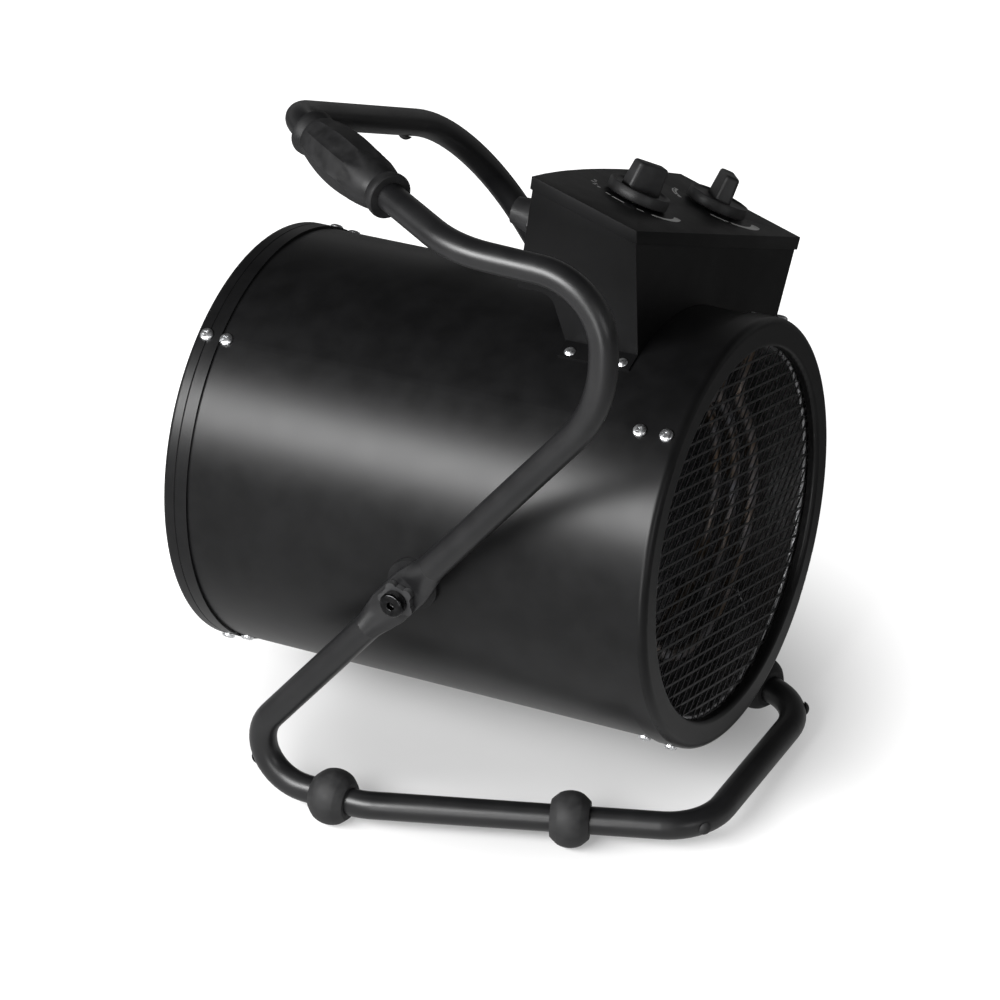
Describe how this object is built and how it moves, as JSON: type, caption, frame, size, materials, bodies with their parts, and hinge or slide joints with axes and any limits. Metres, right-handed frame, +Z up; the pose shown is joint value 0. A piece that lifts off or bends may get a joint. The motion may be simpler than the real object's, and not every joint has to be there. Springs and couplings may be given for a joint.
{
  "type": "forced air heater",
  "caption": "Electric forced air heater: a black steel drum with mesh outlet, fan and heating loops, tilting in a bent tube stand with a grip handle and a control box on one shoulder.",
  "frame": {"origin": "on the floor, under the middle of the whole heater", "axes": "+Z up; -Y is the side the warm air leaves; +X is the side of the control box's slanted far wall, across the tilt pivot"},
  "size_m": [0.384, 0.3692, 0.4593],
  "materials": {
    "black_coat": "satin black powder coat with a fine orange peel",
    "bright_steel": "plain bright sheet steel, lightly rolled",
    "loop_steel": "sheathed element steel, dulled by heat",
    "zinc_steel": "zinc plated, softly bright",
    "dark_bolt": "blackened steel, worn bright at the edges",
    "boss_coat": "satin black coat",
    "collar_nylon": "matt black nylon",
    "fan_alloy": "plain pressed aluminium",
    "motor_coat": "dark grey satin paint",
    "rubber": "matt black rubber with fine mould grain",
    "knob_plastic": "satin black moulded plastic",
    "gland_nylon": "satin black nylon",
    "pale_moulding": "pale moulded resin"
  },
  "bodies": {
    "stand": {"stand_tube": "black_coat", "handle_grip": "rubber", "tube_plugs": "rubber", "foot_rear_near": "rubber", "foot_rear_far": "rubber", "foot_front_near": "rubber", "foot_front_far": "rubber"},
    "drum": {"casing": "black_coat", "front_ring": "black_coat", "rear_ring": "black_coat", "front_mesh": "black_coat", "rear_guard": "black_coat", "control_tray": "black_coat", "control_lid": "black_coat", "duct_liner": "bright_steel", "liner_brackets": "bright_steel", "loop_supports": "bright_steel", "motor_spider": "bright_steel", "heating_loop_1": "loop_steel", "heating_loop_2": "loop_steel", "heating_loop_3": "loop_steel", "front_band_screws": "zinc_steel", "front_casing_screws": "zinc_steel", "rear_band_screws": "zinc_steel", "rear_casing_screws": "zinc_steel", "box_screws": "zinc_steel", "motor_screws": "zinc_steel", "pivot_nut_near": "zinc_steel", "pivot_nut_far": "zinc_steel", "pivot_bolt_near": "dark_bolt", "pivot_bolt_far": "dark_bolt", "pivot_boss_near": "boss_coat", "pivot_boss_far": "boss_coat", "star_collar_near": "collar_nylon", "star_collar_far": "collar_nylon", "motor_body": "motor_coat", "motor_cap": "motor_coat", "cable_gland": "gland_nylon", "gland_nut": "gland_nylon", "thermostat_body": "pale_moulding", "selector_switch": "pale_moulding", "thermal_cutout": "pale_moulding"},
    "fan_wheel": {"fan": "fan_alloy", "fan_shaft": "zinc_steel", "fan_nut": "zinc_steel"},
    "thermostat_control": {"thermostat_knob": "knob_plastic", "thermostat_shaft": "zinc_steel"},
    "selector_control": {"selector_knob": "knob_plastic", "selector_shaft": "zinc_steel"}
  },
  "joints": [
    {"name": "drum_tilt", "type": "hinge", "parent": "stand", "child": "drum", "pos_m": [-0.01863, -0.00061, 0.183], "axis": [-1, 0, 0], "range_deg": [-14, 10]},
    {"name": "fan_spin", "type": "hinge", "parent": "drum", "child": "fan_wheel", "pos_m": [-0.01863, -0.00061, 0.183], "axis": [0, 0.9994, -0.0349], "continuous": true},
    {"name": "thermostat_turn", "type": "hinge", "parent": "drum", "child": "thermostat_control", "pos_m": [0.03237, -0.05788, 0.37695], "axis": [-0.4058, 0.255, -0.8777], "range_deg": [0, 270]},
    {"name": "selector_turn", "type": "hinge", "parent": "drum", "child": "selector_control", "pos_m": [0.13387, -0.0661, 0.32764], "axis": [-0.4058, 0.255, -0.8777], "range_deg": [0, 135]}
  ]
}
